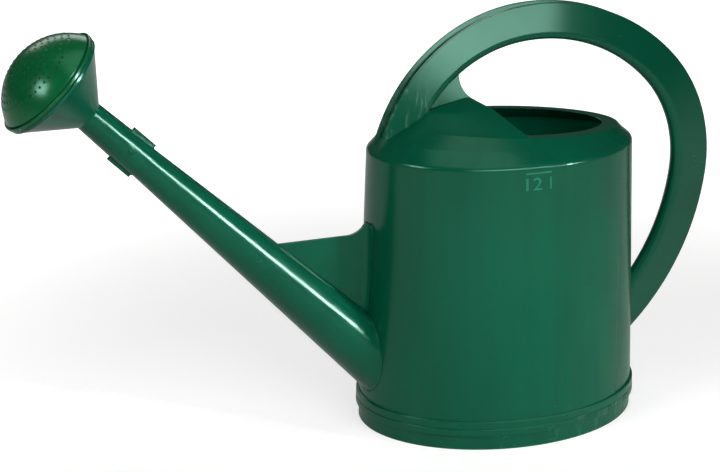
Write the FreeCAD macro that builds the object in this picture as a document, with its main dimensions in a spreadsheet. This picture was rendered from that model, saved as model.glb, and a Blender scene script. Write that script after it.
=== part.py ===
import FreeCAD, Part
import math
import os
import Sketcher

# Twelve-litre plastic watering can, in millimetres.
# The origin is the middle of the oval foot on the floor, +Z is up, the spout points
# towards -X and the back of the grip towards +X. The can is mirrored about y = 0.

doc = FreeCAD.newDocument("watering_can")
X_AXIS = FreeCAD.Vector(1, 0, 0)
Y_AXIS = FreeCAD.Vector(0, 1, 0)

# ---------------------------------------------------------------- driving sizes

SIZES = {
    "wall": (2.5, "wall of the tank and the pan"),
    "base_half_length": (147.0, "tank's oval at the floor, along X"),
    "base_half_width": (113.0, "tank's oval at the floor, along Y"),
    "shoulder_half_length": (138.6, "tank's oval at the shoulder, along X"),
    "shoulder_half_width": (97.8, "tank's oval at the shoulder, along Y"),
    "shoulder_height": (282.6, "shoulder above the floor"),
    "shoulder_round": (6.0, "rounding of the shoulder's edge"),
    "shoulder_drop": (1.5, "cover's wall low down, measured straight down"),
    "brow_half_length": (129.0, "cover's oval part way up to the rim, along X"),
    "brow_half_width": (81.4, "cover's oval there, along Y"),
    "brow_height": (293.3, "middle of that oval above the floor"),
    "brow_centre": (2.0, "middle of that oval along X"),
    "brow_tilt": (1.95, "slope of that oval down towards the back, degrees"),
    "rim_half_length": (115.6, "oval of the filling mouth, along X"),
    "rim_half_width": (68.3, "oval of the filling mouth, along Y"),
    "rim_height": (301.6, "middle of the mouth's rim above the floor"),
    "rim_centre": (10.4, "middle of the rim along X"),
    "rim_tilt": (3.6, "slope of the rim down towards the back, degrees"),
    "ridge_height": (322.0, "hood where it starts to level out"),
    "ridge_centre": (-22.6, "middle of the hood's oval there"),
    "ridge_half_length": (60.0, "hood's oval there, along X"),
    "ridge_half_width": (24.5, "hood's oval there, along Y"),
    "crest_height": (330.5, "top of the hood"),
    "crest_centre": (-27.0, "middle of the hood's top"),
    "crest_half_length": (13.6, "hood's top, along X"),
    "crest_half_width": (5.6, "hood's top, along Y"),
    "hood_drop": (2.8, "hood's wall measured straight down"),
    "mouth_front": (-1.5, "hood's open end at the rim"),
    "ridge_end": (-19.6, "hood's open end at the ridge's height"),
    "crest_end": (-34.6, "hood's open end at its top"),
    "mouth_round": (16.0, "rounding of that end's corners"),
    "lip_depth": (4.0, "lip that the cover thickens to round the mouth"),
    "flange_top": (30.0, "top of the tank's lower flange"),
    "seam_height": (22.0, "joint between tank and pan"),
    "band_bottom": (14.5, "underside of the pan's band"),
    "band_proud": (2.3, "flange and band beyond the wall"),
    "band_round": (0.9, "rounding of the flange's and the band's edges"),
    "skirt_inset": (1.0, "foot skirt behind the wall's line"),
    "floor_underside": (15.5, "underside of the tank's floor"),
    "handle_front_x": (-128.4, "where the grip's front bend starts"),
    "handle_front_z": (303.7, "height of that start"),
    "handle_heading": (70.7, "grip's slope there, degrees above -X to +X"),
    "handle_lead": (26.0, "straight foot below that start"),
    "handle_width": (18.0, "grip across Y"),
    "handle_depth": (37.2, "grip from its open side to its round side"),
    "handle_wall": (2.4, "wall of the grip's channel"),
    "front_bend": (173.0, "radius of the grip's front bend"),
    "front_turn": (64.0, "degrees that it turns"),
    "crown_bend": (209.0, "radius of the grip's crown"),
    "crown_turn": (52.0, "degrees that it turns"),
    "rear_bend": (159.0, "radius of the grip's rear bend"),
    "rear_turn": (51.0, "degrees that it turns"),
    "tail_bend": (260.0, "radius of the grip's tail"),
    "tail_turn": (46.0, "degrees that it turns"),
    "gusset_thickness": (3.0, "plate between grip and hood"),
    "gusset_hollow": (30.5, "radius of the plate's hollow edge"),
    "gusset_hollow_x": (-16.5, "centre of that hollow"),
    "gusset_hollow_z": (355.5, "height of that centre"),
    "gusset_front": (-104.0, "front end of the plate, inside the grip"),
    "gusset_front_height": (327.8, "height of that end"),
    "gusset_top": (369.5, "upper corner of the plate, inside the grip"),
    "root_height": (84.0, "spout's axis where it meets the oval of the floor"),
    "spout_angle": (44.6, "spout's slope, degrees"),
    "root_radius": (30.0, "spout's outside there"),
    "tip_station": (366.0, "spout's end, along its axis"),
    "tip_radius": (13.0, "spout's outside at its end"),
    "spout_wall": (2.2, "wall of the spout"),
    "collar_spread": (1.0, "collar round the spout's root, beyond the spout"),
    "collar_thickness": (1.6, "collar's thickness off the tank's wall"),
    "web_thickness": (3.0, "plate between spout and tank"),
    "web_top": (203.0, "top edge of that plate"),
    "web_front": (-250.0, "plate's front end, inside the spout"),
    "web_depth": (20.0, "plate's reach into the tank's oval before the tank trims it"),
    "web_sweep": (25.0, "radius of the top edge's upsweep at the tank"),
    "web_sweep_x": (-165.0, "where the upsweep starts"),
    "web_rise": (9.0, "height of the upsweep"),
    "web_flare": (8.5, "radius of the plate's flare onto the tank"),
    "web_flare_x": (-150.0, "where the flare starts"),
    "sleeve_station": (308.0, "open end of the rose's sleeve"),
    "sleeve_radius": (17.0, "sleeve's outside there"),
    "neck_station": (375.7, "where the sleeve opens into the funnel"),
    "neck_radius": (14.6, "sleeve's outside there"),
    "fit_clearance": (0.08, "radial gap of the push fits"),
    "tip_gap": (0.5, "gap at the bottom of each push fit"),
    "bead_station": (418.4, "back of the funnel's rim bead"),
    "bead_radius": (54.8, "funnel's rim bead"),
    "cone_radius": (53.6, "funnel's outside at the bead"),
    "funnel_wall": (1.8, "wall of the funnel"),
    "face_station": (422.4, "back of the face's flange"),
    "face_gap": (0.3, "gap between the bead and that flange"),
    "flange_station": (426.0, "front of the face's flange"),
    "flange_radius": (55.8, "face's flange"),
    "flange_lip": (1.1, "lip round the face's flange"),
    "groove_depth": (2.2, "groove inside that lip"),
    "rose_round": (0.8, "rounding of the flange's and the bead's edges"),
    "dome_radius": (61.0, "face's dome"),
    "dome_station": (458.5, "top of the dome"),
    "dome_edge": (53.2, "radius at which the dome turns straight down into the groove"),
    "dome_wall": (2.0, "wall of the dome"),
    "plug_radius": (50.2, "face's plug inside the funnel's rim"),
    "plug_depth": (5.0, "plug behind the flange"),
    "spray_rings": (8, "rings of spray holes round the middle one"),
    "spray_step": (6, "holes that each ring has more than the ring inside it"),
    "spray_pitch": (6.12, "spacing of the rings along the dome"),
    "spray_turn": (28.35, "turn of the first hole in each ring from the top, degrees"),
    "spray_radius": (0.6, "spray hole"),
    "rib_length": (26.0, "grip rib on the sleeve"),
    "rib_width": (5.0, "rib across"),
    "rib_proud": (2.4, "rib beyond the sleeve's open end"),
    "snap_station": (327.5, "snap hole in the sleeve"),
    "snap_radius": (3.0, "that hole"),
}

sheet = doc.addObject("Spreadsheet::Sheet", "sizes")
for row, (alias, (size, meaning)) in enumerate(SIZES.items(), start=1):
    sheet.set(f"A{row}", meaning)
    sheet.set(f"B{row}", str(size))
    sheet.setAlias(f"B{row}", alias)
doc.recompute()


def value(alias):
    """A driving size, read from the sheet."""
    return float(sheet.get(alias))


# ---------------------------------------------------------------- building blocks

OVERRUN = 1.0  # how far a cutter runs past what it cuts
SAME = 0.01  # places this close are one
ALIKE = 0.5  # half lengths this close are of one oval
LOOSE_RING = 100.0  # radius of the ring of lines that an outline's sizes pull into place


def oval(name, half_length, half_width, height, centre="0", tilt="0"):
    """Oval sloping down towards +X by the tilt; the sizes are expressions over the sheet."""
    ring = doc.addObject("Part::Ellipse", name)
    ring.setExpression("MajorRadius", half_length)
    ring.setExpression("MinorRadius", half_width)
    ring.setExpression("Placement.Base.x", centre)
    ring.setExpression("Placement.Base.z", height)
    ring.Placement.Rotation = FreeCAD.Rotation(Y_AXIS, 1)
    ring.setExpression("Placement.Rotation.Angle", f"({tilt}) * 1deg")
    return ring


def loft(name, ovals):
    """Solid between ovals, straight from each to the next."""
    solid = doc.addObject("Part::Loft", name)
    solid.Sections = ovals
    solid.Solid = True
    solid.Ruled = True
    return solid


def wall_oval(name, height, offset="0"):
    """The tank's wall line at a height, moved outwards by the offset."""
    halves = []
    for side in ("half_length", "half_width"):
        slope = f"(sizes.shoulder_{side} - sizes.base_{side}) / sizes.shoulder_height"
        halves.append(f"sizes.base_{side} + {slope} * ({height}) + ({offset})")
    return oval(name, halves[0], halves[1], height)


def wall_block(name, bottom, top, offset="0"):
    """Solid inside the wall line between two heights, moved outwards by the offset."""
    ends = [wall_oval(f"{name}_low", bottom, offset), wall_oval(f"{name}_high", top, offset)]
    return loft(name, ends)


def fuse(name, shapes):
    joined = doc.addObject("Part::MultiFuse", name)
    joined.Shapes = shapes
    return joined


def common(name, shapes):
    shared = doc.addObject("Part::MultiCommon", name)
    shared.Shapes = shapes
    return shared


def cut(name, base, *tools):
    """The base less each tool in turn; the last cut carries the name."""
    rest = base
    for number, tool in enumerate(tools, start=1):
        step = name if number == len(tools) else f"{name}_cut_{number}"
        smaller = doc.addObject("Part::Cut", step)
        smaller.Base = rest
        smaller.Tool = tool
        rest = smaller
    return rest


def rounded(name, base, radius, wanted):
    """Rounds the base's edges that the test wanted picks out."""
    doc.recompute()
    result = doc.addObject("Part::Fillet", name)
    result.Base = base
    picked = [number for number, edge in enumerate(base.Shape.Edges, start=1) if wanted(edge)]
    result.Edges = [(number, radius, radius) for number in picked]
    return result


def level_oval_edge(height, half_length):
    """Test for the closed edge at a height that reaches as far along X as the oval."""

    def wanted(edge):
        box = edge.BoundBox
        level = abs(box.ZMin - height) < SAME and abs(box.ZMax - height) < SAME
        return level and abs(box.XLength / 2 - half_length) < ALIKE

    return wanted


def wall_half_length(height):
    """Half length of the wall line at a height."""
    growth = value("shoulder_half_length") - value("base_half_length")
    return value("base_half_length") + growth * height / value("shoulder_height")


def side_plate(name, corners, thickness):
    """Upright plate about y = 0 whose corners are pairs of expressions for x and z."""
    outline = doc.addObject("Sketcher::SketchObject", f"{name}_outline")
    outline.Placement = FreeCAD.Placement(FreeCAD.Vector(), FreeCAD.Rotation(X_AXIS, 90))
    sides = len(corners)
    turns = [math.tau * number / sides for number in range(sides + 1)]
    loose = [FreeCAD.Vector(math.cos(turn), math.sin(turn), 0) * LOOSE_RING for turn in turns]
    for start, end in zip(loose, loose[1:]):
        outline.addGeometry(Part.LineSegment(start, end))
    for number in range(sides):
        outline.addConstraint(Sketcher.Constraint("Coincident", number, 2, (number + 1) % sides, 1))
    for number, (across, up) in enumerate(corners):
        for kind, expression in (("DistanceX", across), ("DistanceY", up)):
            index = outline.addConstraint(Sketcher.Constraint(kind, -1, 1, number, 1, LOOSE_RING))
            outline.setExpression(f"Constraints[{index}]", expression)
    plate = doc.addObject("Part::Extrusion", name)
    plate.Base = outline
    plate.DirMode = "Normal"
    plate.Solid = True
    plate.Symmetric = True
    plate.setExpression("LengthFwd", thickness)
    return plate


def cross_cylinder(name, radius, x, z, length):
    """Cylinder along Y, centred on y = 0."""
    cylinder = doc.addObject("Part::Cylinder", name)
    cylinder.setExpression("Radius", radius)
    cylinder.setExpression("Height", length)
    cylinder.Placement.Rotation = FreeCAD.Rotation(X_AXIS, 90)
    cylinder.setExpression("Placement.Base.x", x)
    cylinder.setExpression("Placement.Base.y", f"({length}) / 2")
    cylinder.setExpression("Placement.Base.z", z)
    return cylinder


def on_spout_axis(solid, station):
    """Stands a solid's own Z on the spout's axis at a station along it."""
    solid.Placement.Rotation = FreeCAD.Rotation(Y_AXIS, value("spout_angle") - 90)
    solid.setExpression("Placement.Rotation.Angle", "(sizes.spout_angle - 90) * 1deg")
    solid.setExpression("Placement.Base.x", f"-sizes.base_half_length - cos(sizes.spout_angle) * ({station})")
    solid.setExpression("Placement.Base.z", f"sizes.root_height + sin(sizes.spout_angle) * ({station})")


def frustum(name, start, start_radius, end, end_radius):
    """Round solid on the spout's axis between two stations."""
    cone = doc.addObject("Part::Cone", name)
    cone.setExpression("Radius1", start_radius)
    cone.setExpression("Radius2", end_radius)
    cone.setExpression("Height", f"({end}) - ({start})")
    on_spout_axis(cone, start)
    return cone


def disc(name, start, end, radius):
    """Cylinder on the spout's axis between two stations."""
    cylinder = doc.addObject("Part::Cylinder", name)
    cylinder.setExpression("Radius", radius)
    cylinder.setExpression("Height", f"({end}) - ({start})")
    on_spout_axis(cylinder, start)
    return cylinder


def ball(name, radius, station):
    sphere = doc.addObject("Part::Sphere", name)
    sphere.setExpression("Radius", radius)
    on_spout_axis(sphere, station)
    return sphere


# ---------------------------------------------------------------- tank and hood

# Each oval of the cover: its name, the wall's thickness level and straight down there,
# its middle and its tilt.
COVER_OVALS = (
    ("shoulder", "sizes.wall", "sizes.shoulder_drop", "0", "0"),
    ("brow", "sizes.wall", "sizes.shoulder_drop", "sizes.brow_centre", "sizes.brow_tilt"),
    ("rim", "sizes.wall", "sizes.lip_depth", "sizes.rim_centre", "sizes.rim_tilt"),
    ("ridge", "0", "sizes.hood_drop", "sizes.ridge_centre", "0"),
    ("crest", "0", "sizes.hood_drop", "sizes.crest_centre", "0"),
)


def cover_ovals(name, walls):
    """The cover's ovals from the shoulder to the hood's top, that many walls in."""
    return [
        oval(
            f"{name}_{level}",
            f"sizes.{level}_half_length - {walls} * {inset}",
            f"sizes.{level}_half_width - {walls} * {inset}",
            f"sizes.{level}_height - {walls} * {drop}",
            centre,
            tilt,
        )
        for level, inset, drop, centre, tilt in COVER_OVALS
    ]


tank_blank = loft("tank_blank", [wall_oval("tank_foot", "sizes.seam_height")] + cover_ovals("outer", 0))
tank_outside = rounded(
    "tank_outside",
    tank_blank,
    value("shoulder_round"),
    level_oval_edge(value("shoulder_height"), value("shoulder_half_length")),
)
tank_inside = loft(
    "tank_inside",
    [wall_oval("inner_foot", f"sizes.seam_height - {OVERRUN}", "-sizes.wall")] + cover_ovals("inner", 1),
)

flange_blank = wall_block("flange_blank", "sizes.seam_height", "sizes.flange_top", "sizes.band_proud")
flange_reach = [
    level_oval_edge(value(alias), wall_half_length(value(alias)) + value("band_proud"))
    for alias in ("seam_height", "flange_top")
]
tank_flange = rounded(
    "tank_flange",
    flange_blank,
    value("band_round"),
    lambda edge: any(wanted(edge) for wanted in flange_reach),
)
tank_walls = cut("tank_walls", fuse("tank_full", [tank_outside, tank_flange]), tank_inside)

# Behind the hood's open end the mouth is bored upright, which leaves its lip.
behind_hood = doc.addObject("Part::Box", "behind_hood")
behind_hood.setExpression("Length", "sizes.base_half_length * 2")
behind_hood.setExpression("Width", "sizes.base_half_width * 2")
behind_hood.setExpression("Height", "sizes.lip_depth * 5")
behind_hood.setExpression("Placement.Base.x", "sizes.mouth_front")
behind_hood.setExpression("Placement.Base.y", "-sizes.base_half_width")
behind_hood.setExpression("Placement.Base.z", "sizes.rim_height - sizes.lip_depth * 4")
mouth_bore = doc.addObject("Part::Extrusion", "mouth_bore")
mouth_bore.Base = oval(
    "mouth_oval",
    "sizes.rim_half_length - sizes.wall",
    "sizes.rim_half_width - sizes.wall",
    "sizes.rim_height - sizes.lip_depth * 5",
    "sizes.rim_centre",
)
mouth_bore.DirMode = "Normal"
mouth_bore.Solid = True
mouth_bore.setExpression("LengthFwd", "sizes.lip_depth * 7")
lip_cutter = common("lip_cutter", [mouth_bore, behind_hood])


def rim_plane(x):
    """Height of the rim's plane at x."""
    return f"sizes.rim_height - (({x}) - sizes.rim_centre) * tan(sizes.rim_tilt)"


ABOVE_HOOD = "sizes.crest_height * 1.2"
BEHIND_TANK = "sizes.base_half_length * 1.2"
mouth_blank = side_plate(
    "mouth_blank",
    [
        ("sizes.mouth_front", rim_plane("sizes.mouth_front")),
        (BEHIND_TANK, rim_plane(BEHIND_TANK)),
        (BEHIND_TANK, ABOVE_HOOD),
        ("sizes.crest_end", ABOVE_HOOD),
        ("sizes.crest_end", "sizes.crest_height"),
        ("sizes.ridge_end", "sizes.ridge_height"),
    ],
    "sizes.base_half_width * 3",
)
rim_slope = math.tan(math.radians(value("rim_tilt")))
front_height = value("rim_height") - (value("mouth_front") - value("rim_centre")) * rim_slope
hood_corners = ((value("mouth_front"), front_height), (value("ridge_end"), value("ridge_height")))


def hood_corner(edge):
    """Test for the cutter's edges across Y at the corners of the hood's open end."""
    middle = edge.CenterOfMass
    near = any(math.hypot(middle.x - x, middle.z - z) < SAME for x, z in hood_corners)
    return near and edge.BoundBox.YLength > SAME


mouth_cutter = rounded("mouth_cutter", mouth_blank, value("mouth_round"), hood_corner)

# Stations on the spout's axis, inside the tank and clear of its wall.
INSIDE_TANK = "-sizes.root_radius * 1.6"
CLEAR_OF_TANK = "sizes.root_radius * 2"
BORE_RADIUS = "sizes.root_radius - sizes.spout_wall"
spout_bore_root = frustum("spout_bore_root", INSIDE_TANK, BORE_RADIUS, CLEAR_OF_TANK, BORE_RADIUS)
tank_shell = cut("tank_shell", tank_walls, mouth_cutter, lip_cutter, spout_bore_root)

# ---------------------------------------------------------------- bottom pan

band_blank = wall_block("band_blank", "sizes.band_bottom", "sizes.seam_height", "sizes.band_proud")
band_reach = [
    level_oval_edge(value(alias), wall_half_length(value(alias)) + value("band_proud"))
    for alias in ("band_bottom", "seam_height")
]
pan_band = rounded(
    "pan_band",
    band_blank,
    value("band_round"),
    lambda edge: any(wanted(edge) for wanted in band_reach),
)
pan_skirt = wall_block("pan_skirt", "0", "sizes.band_bottom", "-sizes.skirt_inset")
pan_under = wall_block(
    "pan_under",
    f"-{OVERRUN}",
    "sizes.floor_underside",
    "-sizes.skirt_inset - sizes.wall",
)
pan_over = wall_block(
    "pan_over",
    "sizes.floor_underside + sizes.wall",
    f"sizes.seam_height + {OVERRUN}",
    "-sizes.wall",
)
bottom_pan = cut("bottom_pan", fuse("pan_full", [pan_band, pan_skirt]), pan_under, pan_over)

# ---------------------------------------------------------------- grip

BENDS = ("front", "crown", "rear", "tail")


def grip_path():
    """The grip's open edge: a straight foot and four bends, each tangent to the last."""
    heading = math.radians(value("handle_heading"))
    start = FreeCAD.Vector(value("handle_front_x"), 0, value("handle_front_z"))
    forward = FreeCAD.Vector(math.cos(heading), 0, math.sin(heading))
    edges = [Part.LineSegment(start - forward * value("handle_lead"), start).toShape()]
    for bend in BENDS:
        radius = value(f"{bend}_bend")
        turn = math.radians(value(f"{bend}_turn"))
        centre = start + FreeCAD.Vector(math.sin(heading), 0, -math.cos(heading)) * radius
        points = [
            centre + FreeCAD.Vector(-math.sin(heading - part), 0, math.cos(heading - part)) * radius
            for part in (0, turn / 2, turn)
        ]
        edges.append(Part.Arc(*points).toShape())
        start = points[-1]
        heading -= turn
    return Part.Wire(edges)


def grip_section(half_width, depth, rise):
    """Round-bottomed section across the foot of the path, open side up."""
    heading = math.radians(value("handle_heading"))
    forward = FreeCAD.Vector(math.cos(heading), 0, math.sin(heading))
    inward = FreeCAD.Vector(math.sin(heading), 0, -math.cos(heading))
    front = FreeCAD.Vector(value("handle_front_x"), 0, value("handle_front_z"))
    foot = front - forward * value("handle_lead")
    near_top = foot - Y_AXIS * half_width - inward * rise
    far_top = foot + Y_AXIS * half_width - inward * rise
    near_low = foot - Y_AXIS * half_width + inward * (depth - half_width)
    far_low = foot + Y_AXIS * half_width + inward * (depth - half_width)
    return Part.Wire(
        [
            Part.LineSegment(far_top, near_top).toShape(),
            Part.LineSegment(near_top, near_low).toShape(),
            Part.Arc(near_low, foot + inward * depth, far_low).toShape(),
            Part.LineSegment(far_low, far_top).toShape(),
        ]
    )


def swept(name, section, path):
    """Solid made by carrying a section along the path."""
    outline = doc.addObject("Part::Feature", f"{name}_section")
    outline.Shape = section
    solid = doc.addObject("Part::Sweep", name)
    solid.Sections = [outline]
    solid.Spine = (path, [f"Edge{number + 1}" for number in range(len(path.Shape.Edges))])
    solid.Solid = True
    return solid


path = doc.addObject("Part::Feature", "grip_path")
path.Shape = grip_path()
grip_half_width = value("handle_width") / 2
grip_wall = value("handle_wall")
grip_bar = swept("grip_bar", grip_section(grip_half_width, value("handle_depth"), 0), path)
grip_channel = swept(
    "grip_channel",
    grip_section(grip_half_width - grip_wall, value("handle_depth") - grip_wall, OVERRUN),
    path,
)

gusset_plate = side_plate(
    "gusset_plate",
    [
        ("sizes.crest_end", "sizes.shoulder_height"),
        ("sizes.crest_end", "sizes.crest_height"),
        ("sizes.gusset_hollow_x - sizes.gusset_hollow", "sizes.gusset_top"),
        ("sizes.gusset_front", "sizes.gusset_front_height"),
        ("sizes.ridge_centre - sizes.ridge_half_length", "sizes.shoulder_height"),
    ],
    "sizes.gusset_thickness",
)
gusset_hollow = cross_cylinder(
    "gusset_hollow",
    "sizes.gusset_hollow",
    "sizes.gusset_hollow_x",
    "sizes.gusset_hollow_z",
    "sizes.gusset_thickness * 2",
)
gusset = cut("gusset", gusset_plate, gusset_hollow)
handle_bow = cut("handle_bow", fuse("grip_full", [grip_bar, gusset]), grip_channel, tank_outside)

# ---------------------------------------------------------------- spout and web

SPOUT_TAPER = "(sizes.root_radius - sizes.tip_radius) / sizes.tip_station"


def spout_radius(station, offset="0"):
    """Spout's outside at a station, moved outwards by the offset."""
    return f"sizes.root_radius - {SPOUT_TAPER} * ({station}) + ({offset})"


def spout_cone(name, start, end, offset="0"):
    """Solid inside the spout's outside between two stations, moved outwards by the offset."""
    return frustum(name, start, spout_radius(start, offset), end, spout_radius(end, offset))


spout_outer = spout_cone("spout_outer", INSIDE_TANK, "sizes.tip_station")
spout_inner = spout_cone(
    "spout_inner", INSIDE_TANK, f"sizes.tip_station + {OVERRUN}", "-sizes.spout_wall"
)
collar_cone = spout_cone("collar_cone", INSIDE_TANK, CLEAR_OF_TANK, "sizes.collar_spread")
collar_wall = wall_block("collar_wall", "sizes.flange_top", "sizes.web_top", "sizes.collar_thickness")
collar = common("collar", [collar_cone, collar_wall])
spout_full = fuse("spout_full", [spout_outer, collar])
spout_tube = cut("spout_tube", spout_full, spout_inner, tank_outside, tank_flange)


def axis_height(x):
    """Height of the spout's axis above the floor at x."""
    return f"sizes.root_height - (({x}) + sizes.base_half_length) * tan(sizes.spout_angle)"


WEB_REAR = "-sizes.shoulder_half_length + sizes.web_depth"
web_plate = side_plate(
    "web_plate",
    [
        ("sizes.web_front", axis_height("sizes.web_front")),
        (WEB_REAR, axis_height(WEB_REAR)),
        (WEB_REAR, "sizes.web_top + sizes.web_rise"),
        ("sizes.web_sweep_x", "sizes.web_top + sizes.web_rise"),
        ("sizes.web_sweep_x", "sizes.web_top"),
        ("sizes.web_front", "sizes.web_top"),
    ],
    "sizes.web_thickness",
)
web_foot = side_plate(
    "web_foot",
    [
        ("sizes.web_flare_x", axis_height("sizes.web_flare_x")),
        (WEB_REAR, axis_height(WEB_REAR)),
        (WEB_REAR, "sizes.web_top + sizes.web_rise"),
        ("sizes.web_flare_x", "sizes.web_top + sizes.web_rise"),
    ],
    "sizes.web_thickness + 2 * sizes.web_flare",
)
flares = []
for side in (-1, 1):
    flare = doc.addObject("Part::Cylinder", "web_flare_near" if side < 0 else "web_flare_far")
    flare.setExpression("Radius", "sizes.web_flare")
    flare.setExpression("Height", "sizes.shoulder_height")
    flare.setExpression("Placement.Base.x", "sizes.web_flare_x")
    flare.setExpression("Placement.Base.y", f"{side} * (sizes.web_thickness / 2 + sizes.web_flare)")
    flares.append(flare)
web_sweep = cross_cylinder(
    "web_sweep_hollow",
    "sizes.web_sweep",
    "sizes.web_sweep_x",
    "sizes.web_top + sizes.web_sweep",
    "sizes.web_flare * 4",
)
web_flared_foot = cut("web_flared_foot", web_foot, *flares)
web_full = fuse("web_full", [web_plate, web_flared_foot])
spout_web = cut("spout_web", web_full, web_sweep, spout_outer, collar, tank_outside)

# ---------------------------------------------------------------- rose: funnel and sleeve

funnel_cone = frustum(
    "funnel_cone", "sizes.neck_station", "sizes.neck_radius", "sizes.bead_station", "sizes.cone_radius"
)
FUNNEL_FRONT = "sizes.face_station - sizes.face_gap"
bead_blank = disc("bead_blank", "sizes.bead_station", FUNNEL_FRONT, "sizes.bead_radius")


def circle_of(radius):
    """Test for round edges of a radius."""

    def wanted(edge):
        return isinstance(edge.Curve, Part.Circle) and abs(edge.Curve.Radius - radius) < SAME

    return wanted


funnel_bead = rounded("funnel_bead", bead_blank, value("rose_round"), circle_of(value("bead_radius")))
sleeve = frustum(
    "sleeve", "sizes.sleeve_station", "sizes.sleeve_radius", "sizes.neck_station", "sizes.neck_radius"
)
ribs = []
for side, label in ((1, "upper"), (-1, "lower")):
    rib = doc.addObject("Part::Box", f"rib_{label}")
    rib.setExpression("Length", "sizes.sleeve_radius + sizes.rib_proud")
    rib.setExpression("Width", "sizes.rib_width")
    rib.setExpression("Height", "sizes.rib_length")
    rib.Placement.Rotation = FreeCAD.Rotation(Y_AXIS, value("spout_angle") - 90)
    reach = "0" if side > 0 else "-sizes.sleeve_radius - sizes.rib_proud"
    rib.setExpression("Placement.Rotation.Angle", "(sizes.spout_angle - 90) * 1deg")
    rib.setExpression(
        "Placement.Base.x",
        f"-sizes.base_half_length - cos(sizes.spout_angle) * sizes.sleeve_station"
        f" + sin(sizes.spout_angle) * ({reach})",
    )
    rib.setExpression(
        "Placement.Base.z",
        f"sizes.root_height + sin(sizes.spout_angle) * sizes.sleeve_station"
        f" + cos(sizes.spout_angle) * ({reach})",
    )
    rib.setExpression("Placement.Base.y", "-sizes.rib_width / 2")
    ribs.append(rib)

CONE_SLOPE = "(sizes.cone_radius - sizes.neck_radius) / (sizes.bead_station - sizes.neck_station)"
CONE_SHIFT = f"sizes.funnel_wall * sqrt(1 + ({CONE_SLOPE}) ^ 2) / ({CONE_SLOPE})"
PLUG_FLOOR = "sizes.face_station - sizes.plug_depth - sizes.tip_gap"
funnel_hollow = frustum(
    "funnel_hollow",
    f"sizes.neck_station + {CONE_SHIFT}",
    "sizes.neck_radius",
    PLUG_FLOOR,
    f"sizes.neck_radius + {CONE_SLOPE} * ({PLUG_FLOOR} - sizes.neck_station - ({CONE_SHIFT}))",
)
plug_seat = disc(
    "plug_seat",
    PLUG_FLOOR,
    f"sizes.face_station + {OVERRUN}",
    "sizes.plug_radius + sizes.fit_clearance",
)
sleeve_bore = spout_cone(
    "sleeve_bore",
    f"sizes.sleeve_station - {OVERRUN}",
    "sizes.tip_station + sizes.tip_gap",
    "sizes.fit_clearance",
)
throat = disc(
    "throat",
    "sizes.tip_station",
    f"sizes.neck_station + {CONE_SHIFT} + {OVERRUN}",
    "sizes.tip_radius - sizes.spout_wall",
)
snap_hole = cross_cylinder(
    "snap_hole",
    "sizes.snap_radius",
    "-sizes.base_half_length - cos(sizes.spout_angle) * sizes.snap_station",
    "sizes.root_height + sin(sizes.spout_angle) * sizes.snap_station",
    "sizes.sleeve_radius * 3",
)
funnel_full = fuse("funnel_full", [funnel_cone, funnel_bead, sleeve] + ribs)
rose_funnel = cut("rose_funnel", funnel_full, funnel_hollow, plug_seat, sleeve_bore, throat, snap_hole)

# ---------------------------------------------------------------- rose: spray face

DOME_CENTRE = "sizes.dome_station - sizes.dome_radius"
GROOVE_FLOOR = "sizes.flange_station - sizes.groove_depth"
dome = common(
    "dome",
    [
        ball("dome_outer", "sizes.dome_radius", DOME_CENTRE),
        disc("dome_reach", GROOVE_FLOOR, f"sizes.dome_station + {OVERRUN}", "sizes.dome_edge"),
    ],
)
flange_disc = disc("flange_disc", "sizes.face_station", "sizes.flange_station", "sizes.flange_radius")
flange_rounded = rounded(
    "flange_rounded", flange_disc, value("rose_round"), circle_of(value("flange_radius"))
)
groove = disc(
    "flange_groove",
    GROOVE_FLOOR,
    f"sizes.flange_station + {OVERRUN}",
    "sizes.flange_radius - sizes.flange_lip",
)
plug = disc("plug", "sizes.face_station - sizes.plug_depth", GROOVE_FLOOR, "sizes.plug_radius")
dome_hollow = common(
    "dome_hollow",
    [
        ball("dome_inner", "sizes.dome_radius - sizes.dome_wall", DOME_CENTRE),
        disc("dome_inner_reach", GROOVE_FLOOR, "sizes.dome_station", "sizes.dome_edge - sizes.dome_wall"),
    ],
)
plug_bore = disc(
    "plug_bore",
    f"sizes.face_station - sizes.plug_depth - {OVERRUN}",
    GROOVE_FLOOR,
    "sizes.plug_radius - sizes.dome_wall",
)


def spray_holes():
    """Short cylinders square to the dome: one in the middle and rings round it."""
    angle = math.radians(value("spout_angle"))
    along = FreeCAD.Vector(-math.cos(angle), 0, math.sin(angle))
    up = FreeCAD.Vector(math.sin(angle), 0, math.cos(angle))
    root = FreeCAD.Vector(-value("base_half_length"), 0, value("root_height"))
    radius = value("dome_radius")
    centre = root + along * (value("dome_station") - radius)
    depth = value("dome_wall") + 2 * OVERRUN
    first = math.radians(value("spray_turn"))
    holes = []
    for ring in range(int(value("spray_rings")) + 1):
        tilt = ring * value("spray_pitch") / radius
        count = max(1, ring * int(value("spray_step")))
        for number in range(count):
            turn = first + number * math.tau / count
            sideways = up * math.cos(turn) + Y_AXIS * math.sin(turn)
            outward = along * math.cos(tilt) + sideways * math.sin(tilt)
            start = centre + outward * (radius - depth + OVERRUN)
            holes.append(Part.makeCylinder(value("spray_radius"), depth, start, outward))
    return Part.makeCompound(holes)


spray = doc.addObject("Part::Feature", "spray")
spray.Shape = spray_holes()
flange_grooved = cut("flange_grooved", flange_rounded, groove)
face_full = fuse("face_full", [flange_grooved, dome, plug])
rose_face = cut("rose_face", face_full, dome_hollow, plug_bore, spray)

# ---------------------------------------------------------------- checks and files

NODES = (tank_shell, bottom_pan, handle_bow, spout_tube, spout_web, rose_funnel, rose_face)

doc.recompute()
for item in doc.Objects:
    if "Invalid" in item.State or "Error" in item.State:
        raise RuntimeError(f"{item.Name} did not build: {item.State}")

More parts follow.
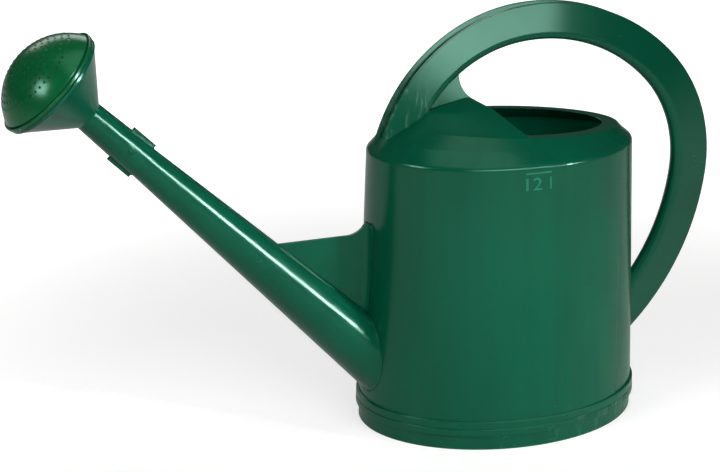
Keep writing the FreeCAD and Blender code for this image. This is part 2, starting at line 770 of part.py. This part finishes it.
os.makedirs("parts", exist_ok=True)
for node in NODES:
    shape = node.Shape
    if shape.isNull() or not shape.isValid():
        raise RuntimeError(f"{node.Label} has no valid shape")
    print(f"{node.Label}: {len(shape.Solids)} solid, {shape.Volume / 1000:.1f} cm3")
    shape.exportStep(f"parts/{node.Label}.step")
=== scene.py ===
"""Watering can in green moulded plastic: finishes, raised details, floor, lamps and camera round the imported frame."""
import math

import bmesh
import bpy
from mathutils import Matrix, Vector


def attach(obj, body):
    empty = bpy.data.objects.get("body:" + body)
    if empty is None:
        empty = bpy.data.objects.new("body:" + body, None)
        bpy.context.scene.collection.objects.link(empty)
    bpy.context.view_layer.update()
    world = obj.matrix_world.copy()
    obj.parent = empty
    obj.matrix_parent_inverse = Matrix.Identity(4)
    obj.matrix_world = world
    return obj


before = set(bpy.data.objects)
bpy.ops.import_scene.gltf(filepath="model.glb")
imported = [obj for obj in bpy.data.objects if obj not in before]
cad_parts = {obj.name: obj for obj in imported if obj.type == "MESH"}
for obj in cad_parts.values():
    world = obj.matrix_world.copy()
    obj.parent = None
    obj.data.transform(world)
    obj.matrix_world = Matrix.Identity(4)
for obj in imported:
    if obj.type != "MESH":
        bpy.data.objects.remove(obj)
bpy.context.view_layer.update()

MM = 0.001
FULL_TURN = 2 * math.pi

# ---------------------------------------------------------------- wires between shader nodes


class Wire:
    """One socket of a material's node tree. Sums on it add Math nodes."""

    def __init__(self, tree, socket=None):
        self.tree, self.socket = tree, socket

    def node(self, kind, settings=None, values=None, output=0):
        """Adds a node of any kind: its settings first, then the values or wires of its sockets."""
        made = self.tree.nodes.new(kind)
        for name, setting in (settings or {}).items():
            if name == "stops":
                stops = made.color_ramp.elements
                while len(stops) < len(setting):
                    stops.new(1.0)
                for stop, (place, shade) in zip(stops, setting):
                    stop.position, stop.color = place, (*shade, 1)
            else:
                setattr(made, name, setting)
        for name, value in (values or {}).items():
            if isinstance(value, Wire):
                self.tree.links.new(value.socket, made.inputs[name])
            else:
                made.inputs[name].default_value = value
        return Wire(self.tree, made.outputs[output] if made.outputs else None)

    def sum(self, operation, first, second=0.0):
        return self.node("ShaderNodeMath", {"operation": operation}, {0: first, 1: second})

    def __add__(self, other):
        return self.sum("ADD", self, other)

    def __radd__(self, other):
        return self.sum("ADD", other, self)

    def __sub__(self, other):
        return self.sum("SUBTRACT", self, other)

    def __rsub__(self, other):
        return self.sum("SUBTRACT", other, self)

    def __mul__(self, other):
        return self.sum("MULTIPLY", self, other)

    def __rmul__(self, other):
        return self.sum("MULTIPLY", other, self)

    def __truediv__(self, other):
        return self.sum("DIVIDE", self, other)


def new_material(name):
    material = bpy.data.materials.new(name)
    material.use_nodes = True
    tree = material.node_tree
    tree.nodes.clear()
    return material, Wire(tree)


def noise(wire, place, scale, detail=2.0, distortion=0.0):
    settings = {"noise_dimensions": "3D"}
    values = {"Vector": place, "Scale": scale, "Detail": detail, "Distortion": distortion}
    return wire.node("ShaderNodeTexNoise", settings, values)


def between(wire, value, low, high):
    """0 where value is below low, 1 above high, and a soft step from one to the other."""
    values = {"Value": value, "From Min": low, "From Max": high}
    return wire.node("ShaderNodeMapRange", {"interpolation_type": "SMOOTHSTEP"}, values)


def stretched(wire, place, scale):
    return wire.node("ShaderNodeMapping", None, {"Vector": place, "Scale": scale})


def mixed(wire, factor, first, second):
    """first where factor is 0 and second where it is 1, as colours."""
    settings = {"data_type": "RGBA"}
    return wire.node("ShaderNodeMix", settings, {"Factor": factor, 6: first, 7: second}, 2)


# ---------------------------------------------------------------- moulded plastic

GREEN = (0.0004, 0.084, 0.042)
DEEP_GREEN = (0.0003, 0.066, 0.033)
DOME_GREEN = (0.0008, 0.094, 0.026)
DOME_DEEP = (0.0006, 0.074, 0.021)
# the raised mark's lighter green is a painted sheen for the light its matt raised face catches
MARK_SHEEN_GREEN = (0.0120, 0.200, 0.120)
MARK_SHEEN_DEEP = (0.0090, 0.170, 0.100)
# pale green of scuffs and rubbed wear, also laid on the handle's front as a painted highlight
RUBBED_AND_SHEEN = (0.12, 0.24, 0.17)
SHEEN = (0.52, 1.0, 0.82)


def moulded_plastic(name, colour, deeper, flow=(1.0, 1.0, 0.06), gloss=0.19, scuffs=0.25,
                    rubbed_sheen_place=None, edge=0.9, loop=None):
    """Glossy injection-moulded plastic. flow stretches the streaks along the way the melt ran, scuffs is how much
    of the surface is dulled, the rubbed place is (x, z, radius) of a patch made dull and pale, partly rubbed wear and
    partly a painted highlight, and loop is (x, z, slope): flat sides round that middle lean back by that slope."""
    material, wire = new_material(name)
    place = wire.node("ShaderNodeTexCoord", output="Object")
    slow = between(wire, noise(wire, place, 7.0, 2.0), 0.32, 0.68)
    streaks = noise(wire, stretched(wire, place, flow), 55.0, 3.0, 0.3)
    tone = slow * 0.55 + between(wire, streaks, 0.35, 0.75) * 0.45
    shade = mixed(wire, tone, (*colour, 1), (*deeper, 1))
    # fine scratches and dull spots
    scratches = noise(wire, stretched(wire, place, (1.0, 1.0, 5.0)), 120.0, 5.0, 2.0)
    spots = between(wire, noise(wire, place, 24.0, 6.0, 1.2), 0.58, 0.74)
    worn = between(wire, scratches, 0.56, 0.72) * spots
    rough = gloss + (streaks - 0.5) * 0.10 + worn * (0.5 * scuffs) + slow * 0.03
    shade = mixed(wire, worn * (0.35 * scuffs), shade, (*RUBBED_AND_SHEEN, 1))
    # a pale, duller patch: partly rubbed wear, partly a painted highlight where the handle's front catches the light
    if rubbed_sheen_place:
        middle_x, middle_z, radius = rubbed_sheen_place
        apart = wire.node("ShaderNodeVectorMath", {"operation": "SUBTRACT"},
                          {0: place, 1: (middle_x, 0.0, middle_z)})
        distance = wire.node("ShaderNodeVectorMath", {"operation": "LENGTH"}, {0: apart}, "Value")
        near = 1.0 - between(wire, distance, 0.3 * radius, radius)
        rub_and_sheen = near * between(wire, noise(wire, stretched(wire, place, (1.0, 1.0, 0.35)), 90.0, 5.0, 1.0),
                             0.46, 0.66)
        shade = mixed(wire, rub_and_sheen * 0.30, shade, (*RUBBED_AND_SHEEN, 1))
        rough = rough + rub_and_sheen * 0.16
    # rounded edges, slow waviness and fine orange peel
    rounded = wire.node("ShaderNodeBevel", {"samples": 4}, {"Radius": edge * MM})
    if loop:
        middle_x, middle_z, slope = loop
        flat = wire.node("ShaderNodeVectorMath", {"operation": "MULTIPLY"}, {0: place, 1: (1.0, 0.0, 1.0)})
        reach = wire.node("ShaderNodeVectorMath", {"operation": "DISTANCE"},
                          {0: flat, 1: (middle_x, 0.0, middle_z)}, "Value")
        rounded = wire.node("ShaderNodeBump", None, {"Strength": 1.0, "Distance": 1.0, "Height": reach * -slope,
                                                     "Normal": rounded})
    waves = noise(wire, place, 28.0, 1.0)
    peel = noise(wire, place, 520.0, 2.0)
    wavy = wire.node("ShaderNodeBump", None,
                     {"Strength": 0.35, "Distance": 0.5 * MM, "Height": waves, "Normal": rounded})
    normal = wire.node("ShaderNodeBump", None,
                       {"Strength": 0.10, "Distance": 0.10 * MM, "Height": peel, "Normal": wavy})
    surface = wire.node("ShaderNodeBsdfPrincipled", None, {
        "Base Color": shade, "Roughness": rough, "Normal": normal, "IOR": 1.47,
        "Specular IOR Level": 0.46, "Specular Tint": (*SHEEN, 1)})
    wire.node("ShaderNodeOutputMaterial", None, {"Surface": surface})
    return material


ALONG_SPOUT = (0.35, 1.0, 0.35)
tank_plastic = moulded_plastic("tank_plastic", GREEN, DEEP_GREEN)
pan_plastic = moulded_plastic("pan_plastic", GREEN, DEEP_GREEN, scuffs=0.8, gloss=0.24)
# its rubbed patch on the handle's front is partly a painted highlight
handle_plastic = moulded_plastic("handle_plastic", GREEN, DEEP_GREEN, flow=(0.3, 1.0, 0.3), scuffs=0.5,
                                 rubbed_sheen_place=(-0.105, 0.318, 0.045), loop=(0.035, 0.235, 0.36))
spout_plastic = moulded_plastic("spout_plastic", GREEN, DEEP_GREEN, flow=ALONG_SPOUT, scuffs=0.3)
rose_plastic = moulded_plastic("rose_plastic", GREEN, DEEP_GREEN, flow=ALONG_SPOUT, scuffs=0.3, edge=0.7)
face_plastic = moulded_plastic("face_plastic", DOME_GREEN, DOME_DEEP, flow=(1.0, 1.0, 1.0), gloss=0.20,
                               scuffs=0.2, edge=0.5)
# the lighter green of the raised mark is a painted sheen
mark_sheen_plastic = moulded_plastic("mark_sheen_plastic", MARK_SHEEN_GREEN, MARK_SHEEN_DEEP, gloss=0.45, edge=0.2)
FINISH_OF_NODE = {
    "tank_shell": tank_plastic, "bottom_pan": pan_plastic, "handle_bow": handle_plastic,
    "spout_tube": spout_plastic, "spout_web": spout_plastic, "rose_funnel": rose_plastic,
    "rose_face": face_plastic,
}
for node_name, finish in FINISH_OF_NODE.items():
    for material_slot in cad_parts[node_name].material_slots:
        material_slot.material = finish

# ---------------------------------------------------------------- pieces


def make_piece(name, mesh_maker, finish, body):
    """A mesh object at the origin, unturned, that rides on a body."""
    mesh = bpy.data.meshes.new(name)
    mesh_maker.to_mesh(mesh)
    mesh_maker.free()
    piece = bpy.data.objects.new(name, mesh)
    bpy.context.scene.collection.objects.link(piece)
    piece.data.materials.append(finish)
    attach(piece, body)
    return piece


def turned(maker, profile, steps, closed=False):
    """Spins (radius, height) points, in millimetres, round Z into a whole turn."""
    points = [maker.verts.new((radius * MM, 0, height * MM)) for radius, height in profile]
    runs = list(zip(points, points[1:]))
    if closed:
        runs.append((points[-1], points[0]))
    edges = [maker.edges.new(run) for run in runs]
    bmesh.ops.spin(maker, geom=points + edges, cent=(0, 0, 0), axis=(0, 0, 1), angle=FULL_TURN,
                   steps=steps, use_merge=True)
    bmesh.ops.remove_doubles(maker, verts=maker.verts, dist=0.002 * MM)
    bmesh.ops.recalc_face_normals(maker, faces=maker.faces)


# the spout's own line: its root, the way along it and the way up from it
SPOUT_ROOT = Vector((-147.0, 0.0, 84.0)) * MM
ALONG = Vector((-0.712026, 0.0, 0.702153))
UPWARD = Vector((0.702153, 0.0, 0.712026))
ACROSS = Vector((0.0, 1.0, 0.0))


def facing(direction, place):
    """The matrix that stands a shape made round Z on place, looking along direction."""
    return Matrix.Translation(place) @ direction.to_track_quat("Z", "Y").to_matrix().to_4x4()


# small raised rings round the spray holes of the domed face
DOME_RADIUS, DOME_MIDDLE = 61.0 * MM, 397.5 * MM
SPRAY_RINGS, SPRAY_PITCH, SPRAY_TURN = 8, 6.12 * MM, math.radians(28.35)
NOZZLE_PROFILE = ((1.45, -0.15), (1.15, 0.24), (0.85, 0.24), (0.66, -0.15))

nozzle = bmesh.new()
turned(nozzle, NOZZLE_PROFILE, 12, closed=True)
nozzle_mesh = bpy.data.meshes.new("one_nozzle")
nozzle.to_mesh(nozzle_mesh)
nozzle.free()
nozzles = bmesh.new()
for ring in range(SPRAY_RINGS + 1):
    tilt = ring * SPRAY_PITCH / DOME_RADIUS
    count = max(1, 6 * ring)
    for hole in range(count):
        turn = SPRAY_TURN + hole * FULL_TURN / count
        sideways = UPWARD * math.cos(turn) + ACROSS * math.sin(turn)
        outward = ALONG * math.cos(tilt) + sideways * math.sin(tilt)
        before = len(nozzles.verts)
        nozzles.from_mesh(nozzle_mesh)
        nozzles.verts.ensure_lookup_table()
        stand = facing(outward, SPOUT_ROOT + ALONG * DOME_MIDDLE + outward * DOME_RADIUS)
        bmesh.ops.transform(nozzles, matrix=stand, verts=nozzles.verts[before:])
bpy.data.meshes.remove(nozzle_mesh)
make_piece("spray_nozzles", nozzles, face_plastic, "face")

# the two snap pins that show in the sleeve's side holes
PIN_STATION, SLEEVE_RADIUS = 327.5 * MM, 16.31 * MM
PIN_PROFILE = ((0.0, -1.4), (2.75, -1.4), (2.75, -0.55), (2.55, -0.15), (2.1, 0.12), (1.2, 0.28), (0.0, 0.34))
pins = bmesh.new()
for side in (-1, 1):
    pin = bmesh.new()
    turned(pin, PIN_PROFILE, 32)
    outward = ACROSS * side
    bmesh.ops.transform(pin, matrix=facing(outward, SPOUT_ROOT + ALONG * PIN_STATION + outward * SLEEVE_RADIUS),
                        verts=pin.verts)
    pin_mesh = bpy.data.meshes.new("one_pin")
    pin.to_mesh(pin_mesh)
    pin.free()
    pins.from_mesh(pin_mesh)
    bpy.data.meshes.remove(pin_mesh)
make_piece("snap_pins", pins, rose_plastic, "rose")

# raised capacity mark near the top of the near wall: a bar over "12 l"
MARK_LEFT, MARK_RIGHT = -18.8 * MM, 7.4 * MM
MARK_BOTTOM, MARK_TOP = 259.8 * MM, 271.8 * MM
BAR_BOTTOM, BAR_TOP = 275.6 * MM, 276.9 * MM
MARK_SUNK, MARK_PROUD = 0.3 * MM, 0.45 * MM


def wall_point(x, z):
    """The point of the near wall with that x and z, and the way straight out of it."""
    half_length = (147.0 - 8.4 * z / (282.6 * MM)) * MM
    half_width = (113.0 - 15.2 * z / (282.6 * MM)) * MM
    share = x / half_length
    y = -half_width * math.sqrt(1 - share * share)
    outward = Vector((x / half_length ** 2, y / half_width ** 2, 0.0)).normalized()
    return Vector((x, y, z)), outward


def raised_on_wall(flat):
    """flat is a bmesh in XY whose x and y are the wall's x and z. Lays it on the wall and gives it its height."""
    bmesh.ops.remove_doubles(flat, verts=flat.verts, dist=0.01 * MM)
    outward_of = {}
    for vertex in flat.verts:
        spot, outward = wall_point(vertex.co.x, vertex.co.y)
        vertex.co = spot - outward * MARK_SUNK
    raised = bmesh.ops.extrude_face_region(flat, geom=flat.faces[:])
    for vertex in [part for part in raised["geom"] if isinstance(part, bmesh.types.BMVert)]:
        spot, outward = wall_point(vertex.co.x, vertex.co.z)
        vertex.co += outward * (MARK_SUNK + MARK_PROUD)
    bmesh.ops.recalc_face_normals(flat, faces=flat.faces)


def flat_text(words, left, right, bottom, top):
    """Plain lettering as a flat bmesh that fills the given box."""
    curve = bpy.data.curves.new("lettering", "FONT")
    curve.body, curve.resolution_u = words, 6
    holder = bpy.data.objects.new("lettering", curve)
    bpy.context.scene.collection.objects.link(holder)
    bpy.context.view_layer.update()
    mesh = bpy.data.meshes.new_from_object(holder.evaluated_get(bpy.context.evaluated_depsgraph_get()))
    bpy.data.objects.remove(holder)
    bpy.data.curves.remove(curve)
    flat = bmesh.new()
    flat.from_mesh(mesh)
    bpy.data.meshes.remove(mesh)
    xs, ys = [v.co.x for v in flat.verts], [v.co.y for v in flat.verts]
    grow = Matrix.Diagonal(((right - left) / (max(xs) - min(xs)), (top - bottom) / (max(ys) - min(ys)), 1, 1))
    place = Matrix.Translation((left, bottom, 0)) @ grow @ Matrix.Translation((-min(xs), -min(ys), 0))
    bmesh.ops.transform(flat, matrix=place, verts=flat.verts)
    return flat


mark = flat_text("12 l", MARK_LEFT, MARK_RIGHT, MARK_BOTTOM, MARK_TOP)
raised_on_wall(mark)
bar = bmesh.new()
bmesh.ops.create_grid(bar, x_segments=16, y_segments=1, size=0.5)
bmesh.ops.transform(bar, verts=bar.verts, matrix=(
    Matrix.Translation(((MARK_LEFT + MARK_RIGHT) / 2, (BAR_BOTTOM + BAR_TOP) / 2, 0))
    @ Matrix.Diagonal((MARK_RIGHT - MARK_LEFT, BAR_TOP - BAR_BOTTOM, 1, 1))))
raised_on_wall(bar)
bar_mesh = bpy.data.meshes.new("one_bar")
bar.to_mesh(bar_mesh)
bar.free()
mark.from_mesh(bar_mesh)
bpy.data.meshes.remove(bar_mesh)
make_piece("capacity_mark", mark, mark_sheen_plastic, "can")

# ---------------------------------------------------------------- floor


def floor_material():
    """White floor. It keeps the can's shadow near it and is plain white further off."""
    material, wire = new_material("floor_white")
    place = wire.node("ShaderNodeTexCoord", output="Object")
    mottle = noise(wire, place, 3.0, 3.0)
    colour = mixed(wire, mottle, (0.54, 0.54, 0.535, 1), (0.57, 0.57, 0.565, 1))
    matt = wire.node("ShaderNodeBsdfDiffuse", None, {"Color": colour})
    distance = wire.node("ShaderNodeVectorMath", {"operation": "LENGTH"}, {0: place}, "Value")
    far = between(wire, distance, 0.4, 1.3)
    path = wire.node("ShaderNodeLightPath")
    seen = [Wire(path.tree, path.socket.node.outputs[name])
            for name in ("Is Camera Ray", "Is Glossy Ray", "Is Transmission Ray")]
    shown = wire.sum("MINIMUM", seen[0] + seen[1] * 0.25 + seen[2], 1.0)
    glow = wire.node("ShaderNodeEmission", None, {"Color": (1, 1, 1, 1), "Strength": shown * (0.60 + far * 0.5)})
    surface = wire.node("ShaderNodeAddShader", None, {0: matt, 1: glow})
    wire.node("ShaderNodeOutputMaterial", None, {"Surface": surface})
    return material


FLOOR_HALF = 20.0
ground = bmesh.new()
bmesh.ops.create_grid(ground, x_segments=1, y_segments=1, size=FLOOR_HALF)
ground_mesh = bpy.data.meshes.new("floor")
ground.to_mesh(ground_mesh)
ground.free()
floor = bpy.data.objects.new("floor", ground_mesh)
floor.data.materials.append(floor_material())
bpy.context.scene.collection.objects.link(floor)

# ---------------------------------------------------------------- world, lamps and camera

world = bpy.data.worlds.new("studio")
world.use_nodes = True
world.node_tree.nodes.clear()
sky = Wire(world.node_tree)
path = sky.node("ShaderNodeLightPath")
seen_directly = Wire(path.tree, path.socket.node.outputs["Is Camera Ray"])
background = sky.node("ShaderNodeBackground", None, {"Color": (1, 1, 1, 1), "Strength": 0.05 + seen_directly * 0.95})
sky.node("ShaderNodeOutputWorld", None, {"Surface": background})
bpy.context.scene.world = world

LIT_POINT = Vector((-0.15, 0.0, 0.20))
SPOUT_MIDDLE = Vector((-0.30, 0.0, 0.24))


def toward(azimuth, elevation):
    """The way from the can to something seen at that azimuth from -Y towards +X, and that height in degrees."""
    a, e = math.radians(azimuth), math.radians(elevation)
    return Vector((math.sin(a) * math.cos(e), -math.cos(a) * math.cos(e), math.sin(e)))


def lamp(name, azimuth, elevation, distance, width, height, power, along=Vector((0.0, 0.0, 1.0)),
         lit_point=LIT_POINT, beam=180):
    """A soft box that looks at lit_point, with its height lined up with along. beam is how wide it shines."""
    light = bpy.data.lights.new(name, "AREA")
    light.shape, light.size, light.size_y = "RECTANGLE", width, height
    light.energy, light.spread = power, math.radians(beam)
    holder = bpy.data.objects.new(name, light)
    direction = toward(azimuth, elevation)
    side = along.cross(direction).normalized()
    turn = Matrix((side, direction.cross(side), direction)).transposed()
    holder.matrix_world = Matrix.Translation(lit_point + direction * distance) @ turn.to_4x4()
    bpy.context.scene.collection.objects.link(holder)


lamp("key", -69, 29, 2.2, 0.60, 0.60, 17)
lamp("side_strip", 47, 13, 2.4, 0.26, 1.2, 0.7, along=ALONG, lit_point=SPOUT_MIDDLE, beam=9)
lamp("front_soft", 12, 25, 2.6, 2.2, 0.55, 41)
lamp("overhead", 20, 80, 2.8, 2.0, 2.0, 12)
lamp("back_soft", 180, 32, 3.0, 2.2, 1.0, 15)

CAMERA_AZIMUTH, CAMERA_ELEVATION, CAMERA_ROLL = map(math.radians, (-21.10175, 18.13321, -0.13681))
CAMERA_DISTANCE, CAMERA_TARGET = 1.791295, Vector((-0.150134, 0.0, 0.200937))
back = toward(math.degrees(CAMERA_AZIMUTH), math.degrees(CAMERA_ELEVATION))
right = Vector((math.cos(CAMERA_AZIMUTH), math.sin(CAMERA_AZIMUTH), 0.0))
up = back.cross(right)
rolled_right = right * math.cos(CAMERA_ROLL) + up * math.sin(CAMERA_ROLL)
rolled_up = up * math.cos(CAMERA_ROLL) - right * math.sin(CAMERA_ROLL)
lens = bpy.data.cameras.new("camera")
lens.lens, lens.sensor_width, lens.clip_start, lens.clip_end = 91.235, 36.0, 0.02, 100.0
camera = bpy.data.objects.new("camera", lens)
camera.matrix_world = Matrix((
    (rolled_right.x, rolled_up.x, back.x, 0), (rolled_right.y, rolled_up.y, back.y, 0),
    (rolled_right.z, rolled_up.z, back.z, 0), (0, 0, 0, 1)))
camera.location = CAMERA_TARGET + back * CAMERA_DISTANCE
bpy.context.scene.collection.objects.link(camera)
bpy.context.scene.camera = camera
bpy.context.scene.view_settings.view_transform = "Standard"
